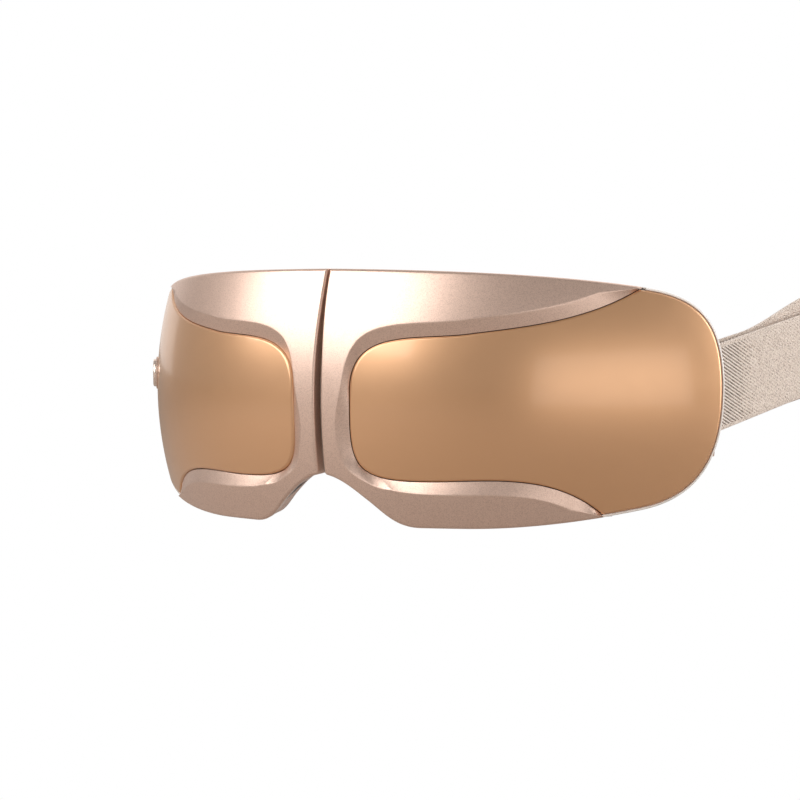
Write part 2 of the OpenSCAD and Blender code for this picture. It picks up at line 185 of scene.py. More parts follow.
def cut(points, keep):
    """The run of points where keep(points) is positive, with its two ends interpolated onto the border."""
    value = keep(points)
    inside = np.where(value > 0)[0]
    i, j = inside[0], inside[-1]
    run = [points[k] for k in range(i, j + 1)]
    if i > 0:
        f = value[i] / (value[i] - value[i - 1])
        run.insert(0, points[i] + f * (points[i - 1] - points[i]))
    if j < len(points) - 1:
        f = value[j] / (value[j] - value[j + 1])
        run.append(points[j] + f * (points[j + 1] - points[j]))
    return np.array(run)


PIECES = {"outline": 360, "nose": 70, "seam": 90}
LOBE_V = 22.0
BROW_SIDE = 200


def border(centre, r, inset=0.0, reach=REACH, narrow=True):
    """Closed border of one half on a sphere: outline, nose arch, seam, with fixed point counts."""
    edge = facing(outline(reach), centre, r)
    edge = cut(edge, lambda p: p[:, 0] - seam_x(p[:, 1], p[:, 2], narrow))
    edge = cut(edge, lambda p: p[:, 0] * math.cos(FLARE) - p[:, 1] * math.sin(FLARE) - LOBE_V
               + BROW_SIDE * (p[:, 2] > 30))
    arch = nose_arch()
    arch = on_sphere(arch[:, 0], arch[:, 1], centre, r, -FLARE)
    arch = cut(arch, lambda p: p[:, 0] - seam_x(p[:, 1], p[:, 2], narrow))
    z = np.linspace(arch[-1, 2], edge[0, 2], PIECES["seam"] + 1)
    ring = np.sqrt(r * r - (z - MID_Z) ** 2)
    x = seam_x(np.zeros_like(z), z, narrow)
    for _ in range(30):
        y = centre - np.sqrt(ring ** 2 - x ** 2)
        x = 0.5 * x + 0.5 * seam_x(y, z, narrow)
    line = np.stack([x, centre - np.sqrt(ring ** 2 - x ** 2), z], 1)
    loop = np.vstack([resample(edge, PIECES["outline"] + 1)[:-1], resample(arch, PIECES["nose"] + 1)[:-1],
                      line[:-1]])
    if inset:
        loop = push_in(loop, inset, centre)
    return loop


def push_in(loop, inset, centre):
    """Moves a closed border inward over its sphere."""
    along = np.roll(loop, -1, 0) - np.roll(loop, 1, 0)
    along /= np.linalg.norm(along, axis=1)[:, None]
    out = loop - np.array([0, centre, MID_Z])
    out /= np.linalg.norm(out, axis=1)[:, None]
    return loop + inset * np.cross(along, out)


def sphere_y(x, z, centre, r):
    return centre - np.sqrt(np.maximum(r * r - x ** 2 - (z - MID_Z) ** 2, 1))


def meet(a, b):
    """First crossing of polylines a and b: the point, and its index on each."""
    for i in range(len(a) - 1):
        p, d = a[i], a[i + 1] - a[i]
        q, e = b[:-1], b[1:] - b[:-1]
        det = d[0] * e[:, 1] - d[1] * e[:, 0]
        det = np.where(np.abs(det) < 1e-12, 1e-12, det)
        w = q - p
        s = (w[:, 0] * e[:, 1] - w[:, 1] * e[:, 0]) / det
        t = (w[:, 0] * d[1] - w[:, 1] * d[0]) / det
        hit = np.where((s >= 0) & (s <= 1) & (t >= 0) & (t <= 1))[0]
        if len(hit):
            return p + s[hit[0]] * d, i, int(hit[0])
    raise ValueError("the curves don't cross")


def offset(line, d):
    t = np.gradient(line, axis=0)
    t /= np.linalg.norm(t, axis=1)[:, None]
    return line + d * np.stack([-t[:, 1], t[:, 0]], 1)


# ---------------------------------------------------------------- mesh helpers
def to_row(points):
    p = np.asarray(points, float)
    return np.stack([p[:, 0], p[:, 1] - FACE_Y, p[:, 2] - MID_Z], 1) * MM


def add_mesh(name, verts, faces, material, sharp=40, uv=None):
    mesh = bpy.data.meshes.new(name)
    mesh.from_pydata([tuple(v) for v in verts], [], faces)
    mesh.validate()
    obj = bpy.data.objects.new(name, mesh)
    bpy.context.scene.collection.objects.link(obj)
    for m in material if isinstance(material, list) else [material]:
        mesh.materials.append(m)
    if uv is not None:
        layer = mesh.uv_layers.new(name="band")
        loops = np.zeros(len(mesh.loops), int)
        mesh.loops.foreach_get("vertex_index", loops)
        layer.data.foreach_set("uv", np.asarray(uv, float)[loops].ravel())
    tidy_normals(obj, sharp)
    return obj


def tidy_normals(obj, sharp):
    bm = bmesh.new()
    bm.from_mesh(obj.data)
    bmesh.ops.remove_doubles(bm, verts=bm.verts, dist=1e-7)
    bmesh.ops.recalc_face_normals(bm, faces=bm.faces)
    bm.to_mesh(obj.data)
    bm.free()
    obj.data.shade_smooth()
    obj.data.set_sharp_from_angle(angle=math.radians(sharp))


def grid_faces(rows, cols, wrap_rows=False, wrap_cols=False):
    faces = []
    for i in range(rows if wrap_rows else rows - 1):
        for j in range(cols if wrap_cols else cols - 1):
            a, b = i * cols + j, i * cols + (j + 1) % cols
            c, d = ((i + 1) % rows) * cols + (j + 1) % cols, ((i + 1) % rows) * cols + j
            faces.append((a, b, c, d))
    return faces


def mirrored(obj, name):
    """The same piece for the -X half."""
    twin = obj.copy()
    twin.data = obj.data.copy()
    twin.name = twin.data.name = name
    bpy.context.scene.collection.objects.link(twin)
    twin.data.transform(Matrix.Scale(-1, 4, Vector((1, 0, 0))))
    twin.data.flip_normals()
    return twin


def both_sides(obj, base):
    """Puts obj on the right half and its twin on the left half, each standing for its CAD node."""
    obj.name = obj.data.name = base + "_right"
    twin = mirrored(obj, base + "_left")
    for piece, side in ((obj, "right"), (twin, "left")):
        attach(piece, side + "_half")
        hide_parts(f"{base}_{side}")
    return obj, twin


# ---------------------------------------------------------------- materials
class Nodes:
    """A material's node tree, with short calls for what the finishes here need."""

    def __init__(self, name, color, rough, metal=0.0, **extra):
        self.material = bpy.data.materials.new(name)
        self.material.use_nodes = True
        self.tree = self.material.node_tree
        self.shader = self.tree.nodes["Principled BSDF"]
        self.set("Base Color", (*color, 1))
        self.set("Roughness", rough)
        self.set("Metallic", metal)
        for key, value in extra.items():
            self.set(key.replace("_", " "), value)

    def set(self, socket, value):
        self.shader.inputs[socket].default_value = value

    def add(self, kind, **values):
        node = self.tree.nodes.new(kind)
        for key, value in values.items():
            if key in node.inputs:
                node.inputs[key].default_value = value
            else:
                setattr(node, key, value)
        return node

    def link(self, a, b):
        self.tree.links.new(a, b)

    def coords(self, kind="Object"):
        return self.add("ShaderNodeTexCoord").outputs[kind]

    def noise(self, scale, detail=2.0):
        node = self.add("ShaderNodeTexNoise", Scale=scale, Detail=detail)
        self.link(self.coords(), node.inputs["Vector"])
        return node.outputs["Fac"]

    def cells(self, scale, feature="F1", output="Distance"):
        node = self.add("ShaderNodeTexVoronoi", Scale=scale, feature=feature)
        self.link(self.coords(), node.inputs["Vector"])
        return node.outputs[output]

    def ramp(self, value, stops, socket):
        node = self.add("ShaderNodeValToRGB")
        while len(node.color_ramp.elements) < len(stops):
            node.color_ramp.elements.new(0.5)
        for element, (at, color) in zip(node.color_ramp.elements, stops):
            element.position = at
            element.color = (*color, 1)
        self.link(value, node.inputs["Fac"])
        self.link(node.outputs["Color"], self.shader.inputs[socket])

    def levels(self, value, low, high, socket=None):
        node = self.add("ShaderNodeMapRange")
        self.link(value, node.inputs["Value"])
        node.inputs["To Min"].default_value, node.inputs["To Max"].default_value = low, high
        if socket:
            self.link(node.outputs["Result"], self.shader.inputs[socket])
        return node.outputs["Result"]

    def math(self, kind, a, b=None):
        node = self.add("ShaderNodeMath", operation=kind)
        for i, value in enumerate((a, b)):
            if value is None:
                continue
            if isinstance(value, (int, float)):
                node.inputs[i].default_value = value
            else:
                self.link(value, node.inputs[i])
        return node.outputs["Value"]

    def bump(self, height, distance, strength=1.0, below=None):
        node = self.add("ShaderNodeBump", Strength=strength, Distance=distance)
        self.link(height, node.inputs["Height"])
        if below:
            self.link(below, node.inputs["Normal"])
        self.link(node.outputs["Normal"], self.shader.inputs["Normal"])
        return node.outputs["Normal"]


def flake_metal(name, base, shade, rough=0.36, metal=0.82):
    """Painted metal with a fine flake: grains that differ in tone and in tilt."""
    m = Nodes(name, base, rough, metal)
    grain = m.cells(5200, output="Color")
    split = m.add("ShaderNodeSeparateColor")
    m.link(grain, split.inputs["Color"])
    m.ramp(split.outputs["Red"], [(0.0, shade), (0.4, base), (1.0, tuple(min(1, c * 1.08) for c in base))],
           "Base Color")
    m.levels(split.outputs["Green"], rough - 0.06, rough + 0.1, "Roughness")
    m.bump(m.noise(3400, 2), 0.00002, 0.5)
    return m.material


def lens_tint():
    """Bronze half-mirror under a clear polished surface."""
    m = Nodes("lens_tint", (0.72, 0.405, 0.21), 0.3, 0.7, Coat_Weight=0.55, Coat_Roughness=0.1, Coat_IOR=1.5)
    m.ramp(m.noise(9, 2), [(0.3, (0.70, 0.39, 0.20)), (0.7, (0.74, 0.42, 0.225))], "Base Color")
    m.levels(m.noise(240, 4), 0.28, 0.34, "Roughness")
    return m.material


def plain_plastic(name, color, rough, grain=900, depth=0.00002, **extra):
    m = Nodes(name, color, rough, 0.0, **extra)
    darker = tuple(c * 0.9 for c in color)
    m.ramp(m.noise(45, 3), [(0.3, darker), (0.7, color)], "Base Color")
    m.levels(m.noise(grain, 3), rough - 0.04, rough + 0.05, "Roughness")
    m.bump(m.cells(grain), depth, 0.5)
    return m.material


def leather():
    """Soft synthetic leather: a pebbled grain with finer pores, with painted shade darkening its creases."""
    m = Nodes("leather", (0.43, 0.315, 0.275), 0.52, 0.0, Sheen_Weight=0.15)
    cells = m.cells(1150, "DISTANCE_TO_EDGE")
    crease = m.levels(cells, 0.0, 1.0)
    # the cell edges are coloured darker: painted shade in the creases of the grain
    m.ramp(crease, [(0.0, (0.30, 0.21, 0.185)), (0.12, (0.42, 0.305, 0.27)), (1.0, (0.46, 0.34, 0.30))],
           "Base Color")
    m.levels(m.noise(70, 3), 0.45, 0.6, "Roughness")
    low = m.bump(crease, 0.00012, 0.5)
    m.bump(m.noise(130, 4), 0.00025, 0.35, low)
    return m.material


def knit():
    """Fine warp knit: small interlocked loops in columns."""
    m = Nodes("knit", (0.55, 0.43, 0.39), 0.85, 0.0, Sheen_Weight=0.35)
    place = m.add("ShaderNodeSeparateXYZ")
    m.link(m.coords(), place.inputs["Vector"])
    across = m.math("SINE", m.math("MULTIPLY", place.outputs["X"], 7200))
    down = m.math("SINE", m.math("MULTIPLY", place.outputs["Z"], 6400))
    loops = m.math("MULTIPLY", across, down)
    # the low hollows between the loops are coloured darker: painted shade
    m.ramp(m.levels(loops, 0, 1), [(0.0, (0.40, 0.30, 0.27)), (1.0, (0.60, 0.48, 0.44))], "Base Color")
    m.bump(loops, 0.00012, 0.5)
    return m.material


def webbing():
    """Elastic webbing: diagonal ribs that fade out away from the mask, plain borders and a fuzzy yarn; the rib
    troughs are darkened as painted shade.
    """
    m = Nodes("webbing", (0.80, 0.69, 0.61), 0.72, 0.0, Sheen_Weight=0.3)
    uv = m.add("ShaderNodeSeparateXYZ")
    m.link(m.coords("UV"), uv.inputs["Vector"])
    along, across = uv.outputs["X"], uv.outputs["Y"]
    # uv is in millimetres along the band and from edge to edge.
    lean = m.math("ADD", m.math("MULTIPLY", along, 2.6), m.math("MULTIPLY", across, 5.7))
    rib = m.math("SINE", lean)
    ease = m.add("ShaderNodeMapRange", interpolation_type="SMOOTHSTEP")
    m.link(along, ease.inputs["Value"])
    for socket, value in (("From Min", 26), ("From Max", 54), ("To Min", 1.0), ("To Max", 0.12)):
        ease.inputs[socket].default_value = value
    edge = m.math("GREATER_THAN", m.math("ABSOLUTE", across), 12.4)
    body = m.math("SUBTRACT", 1.0, edge)
    cloth = m.math("MULTIPLY", m.math("MULTIPLY", rib, ease.outputs["Result"]), body)
    hem = m.math("MULTIPLY", m.math("SINE", m.math("MULTIPLY", along, 5.0)), edge)
    weave = m.math("ADD", cloth, m.math("MULTIPLY", hem, 0.15))
    fuzz = m.math("SUBTRACT", m.noise(2300, 3), 0.5)
    tone = m.math("ADD", weave, m.math("MULTIPLY", fuzz, 3.2))
    spread = m.add("ShaderNodeMapRange")
    m.link(tone, spread.inputs["Value"])
    spread.inputs["From Min"].default_value, spread.inputs["From Max"].default_value = -1.0, 1.2
    # low tone is dark: painted shade in the rib troughs, with the yarn's random fuzz on top
    m.ramp(spread.outputs["Result"], [(0.0, (0.11, 0.06, 0.04)), (0.22, (0.42, 0.29, 0.22)),
                                      (0.45, (0.90, 0.76, 0.65)), (1.0, (0.98, 0.88, 0.80))], "Base Color")
    m.bump(tone, 0.00022, 0.9)
    return m.material


def steel(name="steel", color=(0.70, 0.71, 0.73), rough=0.28):
    m = Nodes(name, color, rough, 1.0)
    stretch = m.add("ShaderNodeMapping")
    m.link(m.coords(), stretch.inputs["Vector"])
    stretch.inputs["Scale"].default_value = (3000, 3000, 60)
    brush = m.add("ShaderNodeTexNoise", Scale=1.0, Detail=3.0)
    m.link(stretch.outputs["Vector"], brush.inputs["Vector"])
    m.levels(brush.outputs["Fac"], rough - 0.1, rough + 0.15, "Roughness")
    m.bump(brush.outputs["Fac"], 0.00001, 0.4)
    return m.material


def circuit():
    m = Nodes("circuit", (0.05, 0.22, 0.13), 0.35, 0.0, Coat_Weight=0.4)
    track = m.add("ShaderNodeTexBrick", Scale=420.0)
    m.link(m.coords(), track.inputs["Vector"])
    track.inputs["Color1"].default_value = (0.04, 0.20, 0.12, 1)
    track.inputs["Color2"].default_value = (0.05, 0.26, 0.15, 1)
    track.inputs["Mortar"].default_value = (0.35, 0.33, 0.12, 1)
    m.link(track.outputs["Color"], m.shader.inputs["Base Color"])
    m.bump(track.outputs["Fac"], 0.00005, 0.3)
    return m.material


ROSE = (0.74, 0.54, 0.44)
ROSE_SHADE = (0.62, 0.43, 0.345)
MAT = {
    "frame_metal": flake_metal("frame_metal", ROSE, ROSE_SHADE),
    "button_metal": flake_metal("button_metal", (0.90, 0.74, 0.64), (0.80, 0.62, 0.52), 0.26, 0.9),
    "buckle_metal": flake_metal("buckle_metal", (0.80, 0.62, 0.52), (0.62, 0.45, 0.37), 0.3, 0.9),
    "lens_tint": lens_tint(),
    # near-white trim: its colour stands in for the bright line along the lens rim, a painted highlight
    "edge_trim": plain_plastic("edge_trim", (0.97, 0.90, 0.84), 0.18, 300, 0.000004, Coat_Weight=0.6),
    # near-black for the walls in the gap between the halves: painted shade of the deep seam
    "seam_plastic": plain_plastic("seam_plastic", (0.03, 0.014, 0.01), 0.5),
    "inner_plastic": plain_plastic("inner_plastic", (0.045, 0.03, 0.026), 0.5),
    "housing_shell": flake_metal("housing_shell", (0.66, 0.48, 0.40), (0.46, 0.32, 0.26), 0.42, 0.55),
    "rear_shell": plain_plastic("rear_shell", (0.47, 0.345, 0.30), 0.48, 1400, 0.00003),
    "cushion": leather(),
    "eye_fabric": knit(),
    "heating_film": plain_plastic("heating_film", (0.62, 0.30, 0.09), 0.4),
    "airbag_film": plain_plastic("airbag_film", (0.82, 0.78, 0.72), 0.25),
    "white_plastic": plain_plastic("white_plastic", (0.85, 0.85, 0.82), 0.4),
    "steel": steel(),
    "hinge_steel": steel("hinge_steel", (0.62, 0.60, 0.59), 0.3),
    "hose_rubber": plain_plastic("hose_rubber", (0.84, 0.84, 0.80), 0.6),
    "weight_metal": steel("weight_metal", (0.45, 0.42, 0.37), 0.4),
    "circuit_board": circuit(),
    "battery_wrap": plain_plastic("battery_wrap", (0.12, 0.22, 0.40), 0.3, 300),
    "strap_webbing": webbing(),
}


def finish_cad_nodes():
    """Every CAD node takes its slot's finish, and the hard ones a small edge radius."""
    slots = {s["node"]: s["material_slot"] for s in frame["record"]["subparts"]}
    for name, obj in frame["nodes"].items():
        obj.data.materials.clear()
        obj.data.materials.append(MAT[slots[name]])
    for name, width in (("strap_slider", 0.5), ("strap_anchor_right", 0.5), ("strap_anchor_left", 0.5),
                        ("hinge_leaf_right", 0.25), ("hinge_leaf_left", 0.25)):
        soften = frame["nodes"][name].modifiers.new("edge_radius", "BEVEL")
        soften.width = width * MM
        soften.segments = 3
        soften.limit_method = "ANGLE"
        soften.angle_limit = math.radians(35)


# ---------------------------------------------------------------- front frame
def frame_spans():
    """Outer border of the frame in four runs, with the lens-edge run that each one faces, all in (u, z)."""
    edge = lens_edge()
    rim = flat(facing(outline(), FRAME_C, FRAME_R))
    top, top_lens, top_rim = meet(edge[:40], rim)
    low, low_lens, low_rim = meet(edge[200:], rim)
    low_lens += 200
    corners = []
    for target in ((12.0, 52.5), (11.0, 24.0), (19.0, 15.2)):
        corners.append(int(np.argmin(np.linalg.norm(edge - np.array(target), axis=1))))
    stops = [top_lens + 1] + corners + [low_lens + 1]
    inner = [edge[stops[i]:stops[i + 1] + 1] for i in range(4)]
    inner[0] = np.vstack([[top], inner[0]])
    inner[3] = np.vstack([inner[3][:-1], [low]])
    return inner, top, low


COUNTS = (110, 70, 60, 110)


def frame_outer(centre, r, top_u, low_u, inset=0.0):
    """The frame's outer border on one layer, in four runs from the top tip to the low tip, in 3-D."""
    loop = border(centre, r)
    n, m = PIECES["outline"], PIECES["nose"]
    rim, nose, seam = loop[:n], loop[n:n + m], loop[n + m:]
    u = rim[:, 0] * math.cos(AIM) + rim[:, 1] * math.sin(AIM)
    upper = rim[(rim[:, 2] > MID_Z) & (u < top_u)][::-1]
    lower = rim[(rim[:, 2] < MID_Z) & (u < low_u)]
    runs = [upper, np.vstack([seam[::-1], nose[-1:]]), nose[::-1], lower[::-1]]
    runs[1] = np.vstack([upper[-1:], runs[1]])
    runs[2] = np.vstack([runs[2], lower[-1:]])
    points = np.vstack([resample(run, c)[:-1] for run, c in zip(runs, COUNTS)] + [runs[3][-1:]])
    if inset:
        points = push_open(points, inset, centre)
    return points


def push_open(points, inset, centre):
    """Moves an open run of border points inward over their sphere."""
    along = np.gradient(points, axis=0)
    along /= np.linalg.norm(along, axis=1)[:, None]
    out = points - np.array([0, centre, MID_Z])
    out /= np.linalg.norm(out, axis=1)[:, None]
    return points - inset * np.cross(along, out)


def front_frame():
    """Metallic plate around the lens: lip, bevel, face, rolled outer edge and side wall."""
    inner, top, low = frame_spans()
    lens_line = np.vstack([resample(run, c)[:-1] for run, c in zip(inner, COUNTS)] + [low[None]])
    top_u, low_u = top[0] - 0.6, low[0] - 0.6
    outer = frame_outer(FRAME_C, FRAME_R, top_u, low_u, EDGE_R)
    rim_line = flat(outer)
    gap = rim_line - lens_line
    width = np.linalg.norm(gap, axis=1)
    bevel = np.minimum(BEVEL_W, 0.6 * width)
    rows = [facing(lens_line, LENS_C, CARRIER_R + 0.2), facing(lens_line, LENS_C, LENS_R - LIP - 0.4)]

    def place(distance, rise):
        at = lens_line + gap * (distance / width)[:, None]
        low_p, high_p = facing(at, LENS_C, LENS_R - LIP), facing(at, FRAME_C, FRAME_R)
        return low_p + (high_p - low_p) * rise

    crease = 0.07
    for t in (0.0, 0.03, 0.1, 0.25, 0.4, 0.55, 0.7, 0.85, 1 - crease):
        rows.append(place(t * bevel, t))
    for t in (1 - crease / 2, 1.0, 1 + crease / 2, 1 + crease):
        rows.append(place(t * bevel, 1 - (1 + crease - t) ** 2 / (4 * crease)))
    for f in (0.05, 0.12, 0.25, 0.4, 0.55, 0.7, 0.85, 0.95):
        rows.append(place(bevel * (1 + crease) + f * (width - bevel * (1 + crease)), 1.0))
    for k in range(7):
        a = k / 6 * math.pi / 2
        rows.append(frame_outer(FRAME_C, FRAME_R - EDGE_R * (1 - math.cos(a)), top_u, low_u,
                                EDGE_R * (1 - math.sin(a))))
    rows.append(frame_outer(FRAME_C, FRAME_R - PLATE_T, top_u, low_u))
    deep = len(rows)
    rows.append(frame_outer(LENS_C, CARRIER_R + 0.15, top_u, low_u))
    rows.append(frame_outer(LENS_C, CARRIER_R + 0.15, top_u, low_u, 1.4))
    verts = to_row(np.vstack(rows))
    cols, count = len(lens_line), len(rows)
    faces = grid_faces(count, cols, wrap_rows=True)
    faces.append(tuple(i * cols for i in range(count)))
    faces.append(tuple(i * cols + cols - 1 for i in reversed(range(count))))
    obj = add_mesh("front_frame", verts, faces, [MAT["frame_metal"], MAT["seam_plastic"]], 50)
    # the deep wall faces in the seam turn near-black: painted shade
    paint_seam_shade(obj, range((deep - 1) * (cols - 1), (deep + 1) * (cols - 1)))
    return obj


# ---------------------------------------------------------------- lens
def lens_border(gap, inset):
    """Closed lens border in (u, z), held back from the frame by gap and from the outer end by inset."""
    edge = offset(lens_edge(), gap)
    rim = offset(flat(facing(outline(), LENS_C, LENS_R)), -inset)
    top, i, a = meet(edge[:60], rim)
    low, j, b = meet(edge[200:], rim)
    j += 200
    inner = resample(np.vstack([[top], edge[i + 1:j + 1], [low]]), 300)
    outer = resample(np.vstack([[low], rim[a + 1:b + 1][::-1], [top]]), 220)
    return np.vstack([inner[:-1], outer[:-1]])


def fan(border_uv, hub, shares):
    """Rings from a border towards a hub, in (u, z)."""
    return [hub + k * (border_uv - hub) for k in shares]


def lens():
    hub = np.array([76.0, 38.0])
    rim = lens_border(LENS_GAP, LENS_INSET)
    face = lens_border(LENS_GAP + CHAMFER, LENS_INSET + CHAMFER)
    shares = np.concatenate([[1.0, 0.995, 0.985], np.linspace(0.96, 0.02, 30)])
    rows = [facing(q, LENS_C, LENS_R - LENS_T) for q in reversed(fan(rim, hub, (1.0, 0.8, 0.5, 0.2)))]
    rows += [facing(rim, LENS_C, LENS_R - CHAMFER_DEPTH)]
    rows += [facing(face + (rim - face) * k, LENS_C, LENS_R - CHAMFER_DEPTH * k ** 1.6)
             for k in (0.8, 0.55, 0.3, 0.12)]
    rows += [facing(q, LENS_C, LENS_R) for q in fan(face, hub, shares)]
    cols = len(rim)
    verts = to_row(np.vstack(rows))
    faces = grid_faces(len(rows), cols, wrap_cols=True)
    faces.append(tuple(range(cols)))
    faces.append(tuple((len(rows) - 1) * cols + j for j in reversed(range(cols))))
    return add_mesh("lens", verts, faces, MAT["lens_tint"], 60)


# ---------------------------------------------------------------- trim, wall and rear cover
def closed_rows(name, rows, material, sharp=45):
    """A ring-shaped solid: each row is a closed border, and the last row joins the first."""
    faces = grid_faces(len(rows), len(rows[0]), wrap_rows=True, wrap_cols=True)
    return add_mesh(name, to_row(np.vstack(rows)), faces, material, sharp)


def edge_trim():
    """Polished bead around each half: low under the frame, and up beside the lens at the outer end. Its near-white
    colour is a painted highlight along the lens rim.
    """
    high, low = CARRIER_R + 0.1, WALL_R + 0.12
    mid, half = (high + low) / 2, (high - low) / 2
    bead = [(0.35 * (1 - math.cos(a)), mid - half * math.sin(a))
            for a in np.linspace(math.pi / 2, -math.pi / 2, 9)]
    under = [(1.4, low)] + bead[::-1] + [(1.4, high)]
    top = LENS_R - 0.22
    beside = [(1.4, low), (0.25, low), (0.0, low + 0.3), (0.0, mid), (0.0, high), (0.04, top - 0.4),
              (0.2, top - 0.1), (0.45, top), (0.7, top - 0.1), (0.86, top - 0.38), (1.4, high)]
    _, tip_top, tip_low = frame_spans()
    rim = border(LENS_C, CARRIER_R)
    u = flat(rim)[:, 0]
    upper = rim[:, 2] > MID_Z
    outer_end = (upper & (u > tip_top[0] + 0.5)) | (~upper & (u > tip_low[0] + 0.5))
    rows = [np.where(outer_end[:, None], border(LENS_C, r_up, a), border(LENS_C, r, b))
            for (a, r_up), (b, r) in zip(beside, under)]
    return closed_rows("edge_trim", rows, MAT["edge_trim"])


def housing():
    """Side wall from the trim to the rear cover, painted near-black in the seam as shade in the gap."""
    start = border(LENS_C, WALL_R, 0.15)
    end = border(REAR_C, REAR_R + 2.0, 0.15, narrow=False)
    rows = [border(LENS_C, WALL_R, 1.6)]
    rows += [start + (end - start) * smooth(f) for f in np.linspace(0, 1, 12)]
    rows += [border(REAR_C, REAR_R + 2.0, 1.6, narrow=False)]
    obj = closed_rows("housing", rows, [MAT["housing_shell"], MAT["seam_plastic"]])
    paint_seam_shade(obj, range(len(obj.data.polygons)))
    return obj


def paint_seam_shade(obj, faces):
    """Gives the second, near-black material to those of the faces that look across the seam: painted shade in the
    gap between the halves.
    """
    for i in faces:
        face = obj.data.polygons[i]
        if face.normal.x < -0.6 and face.center.x < 20 * MM:
            face.material_index = 1


def rear_cover():
    """Plate on the wearer's side, with a rounded border."""
    hub = np.array([52.0, 0.0, 40.0])
    edge = border(REAR_C, REAR_R + 1.9, 0.1, narrow=False)
    rows = [edge]
    for k in range(1, 7):
        a = k / 6 * math.pi / 2
        rows.append(border(REAR_C, REAR_R + 1.9 * (1 - math.sin(a)), 0.1 + 1.8 * (1 - math.cos(a)),
                           narrow=False))
    last = rows[-1]
    for share in np.linspace(0.97, 0.03, 26):
        ring = hub + share * (last - hub)
        rows.append(np.stack([ring[:, 0], sphere_y(ring[:, 0], ring[:, 2], REAR_C, REAR_R), ring[:, 2]], 1))
    cols = len(edge)
    faces = grid_faces(len(rows), cols, wrap_cols=True)
    faces.append(tuple((len(rows) - 1) * cols + j for j in range(cols)))
    faces.append(tuple(range(cols)))
    return add_mesh("rear_cover", to_row(np.vstack(rows)), faces, MAT["rear_shell"], 45)


# ---------------------------------------------------------------- cushions
WEDGE_MARGIN = 0.9
WEDGE_ROUND = 3.0


def rounded(loop, passes):
    """Rounds the corners of a closed border by averaging neighbours."""
    for _ in range(passes):
        loop = 0.5 * loop + 0.25 * (np.roll(loop, 1, 0) + np.roll(loop, -1, 0))
    return loop


def behind_wedge(points):
    """Holds points out of the space that the other half needs in the fold, rounding the turn."""
    points = points.copy()
    limit = SEAM + WEDGE_MARGIN + np.maximum(0, points[:, 1] - HINGE_Y) * TAN_FOLD
    past = points[:, 0] - limit
    points[:, 0] = limit + 0.5 * (past + np.sqrt(past ** 2 + WEDGE_ROUND ** 2))
    return points


def inward(points, centre):
    n = np.array([0, centre, MID_Z]) - points
    return n / np.linalg.norm(n, axis=1)[:, None]


def cushion_borders(n=300):
    """Outer and inner border of the cushion ring, matched point to point by their turn about the eye."""
    outer = resample(border(REAR_C, REAR_R, 3.6, REACH - 18.5, narrow=False), n, True)
    outer = resample(rounded(outer, 60), n, True)
    a = np.linspace(0, 2 * math.pi, n, endpoint=False)
    eye = np.stack([EYE[0] + EYE[2] * np.cos(a), EYE[1] + EYE[3] * np.sin(a)], 1)
    eye = facing(eye, REAR_C, REAR_R)
    middle = eye.mean(0)
    turn = np.unwrap(np.arctan2(outer[:, 2] - middle[2], outer[:, 0] - middle[0]))
    if turn[-1] < turn[0]:
        outer, turn = outer[::-1], turn[::-1]
        turn = np.unwrap(np.arctan2(outer[:, 2] - middle[2], outer[:, 0] - middle[0]))
    ring = np.unwrap(np.arctan2(eye[:, 2] - middle[2], eye[:, 0] - middle[0]))
    base = ring - ring[0]
    want = np.linspace(0, 2 * math.pi, n, endpoint=False)
    inner = np.stack([np.interp(want, np.append(base, 2 * math.pi), np.append(eye[:, k], eye[0, k]))
                      for k in range(3)], 1)
    order = np.argsort((turn - ring[0]) % (2 * math.pi))
    key = ((turn - ring[0]) % (2 * math.pi))[order]
    closed_key = np.concatenate([[key[-1] - 2 * math.pi], key, [key[0] + 2 * math.pi]])
    sorted_outer = outer[order]
    closed = np.vstack([sorted_outer[-1:], sorted_outer, sorted_outer[:1]])
    matched = np.stack([np.interp(want, closed_key, closed[:, k]) for k in range(3)], 1)
    return matched, inner


def cushion_height(points):
    """Depth of foam over the rear cover at each point."""
    n = inward(points, REAR_C)
    height = np.full(len(points), 8.0)
    for _ in range(12):
        tip = points + n * height[:, None]
        short = sphere_y(tip[:, 0], tip[:, 2], CUSHION_C, CUSHION_R) - tip[:, 1]
        height += short / np.maximum(n[:, 1], 0.3)
    return height


def face_cushion():
    """Foam ring around the eye under soft leather, crowned, pulled in at its two sewn edges."""
    outer, inner = cushion_borders()
    rows = []
    count = 34
    stitch = 0.5 + 0.5 * np.cos(np.arange(len(outer)) * 2 * math.pi / 6)
    for k in range(count + 1):
        a = math.pi * k / count
        share = 0.5 - 0.5 * math.cos(a)
        at = outer + (inner - outer) * share
        at[:, 1] = sphere_y(at[:, 0], at[:, 2], REAR_C, REAR_R)
        full = cushion_height(at)
        crown = max(math.sin(a), 0.0) ** 0.62
        lift = full * crown * 0.985
        for seam_at in (0.17, 0.80):
            near = math.exp(-((share - seam_at) / 0.022) ** 2)
            lift -= near * (0.75 + 0.25 * stitch)
        rows.append(behind_wedge(at + inward(at, REAR_C) * np.maximum(lift, -0.2)[:, None]))
    under = [rows[-1] - inward(rows[-1], REAR_C) * 0.15, rows[0] - inward(rows[0], REAR_C) * 0.15]
    return closed_rows("face_cushion", rows + under, MAT["cushion"], 60)


def eye_ring(a, share):
    """Ring of the eye opening at a share of its size, on the rear cover."""
    wide, tall = (EYE[2] - 0.5) * share, (EYE[3] - 0.5) * share
    return facing(np.stack([EYE[0] + wide * np.cos(a), EYE[1] + tall * np.sin(a)], 1), REAR_C, REAR_R)


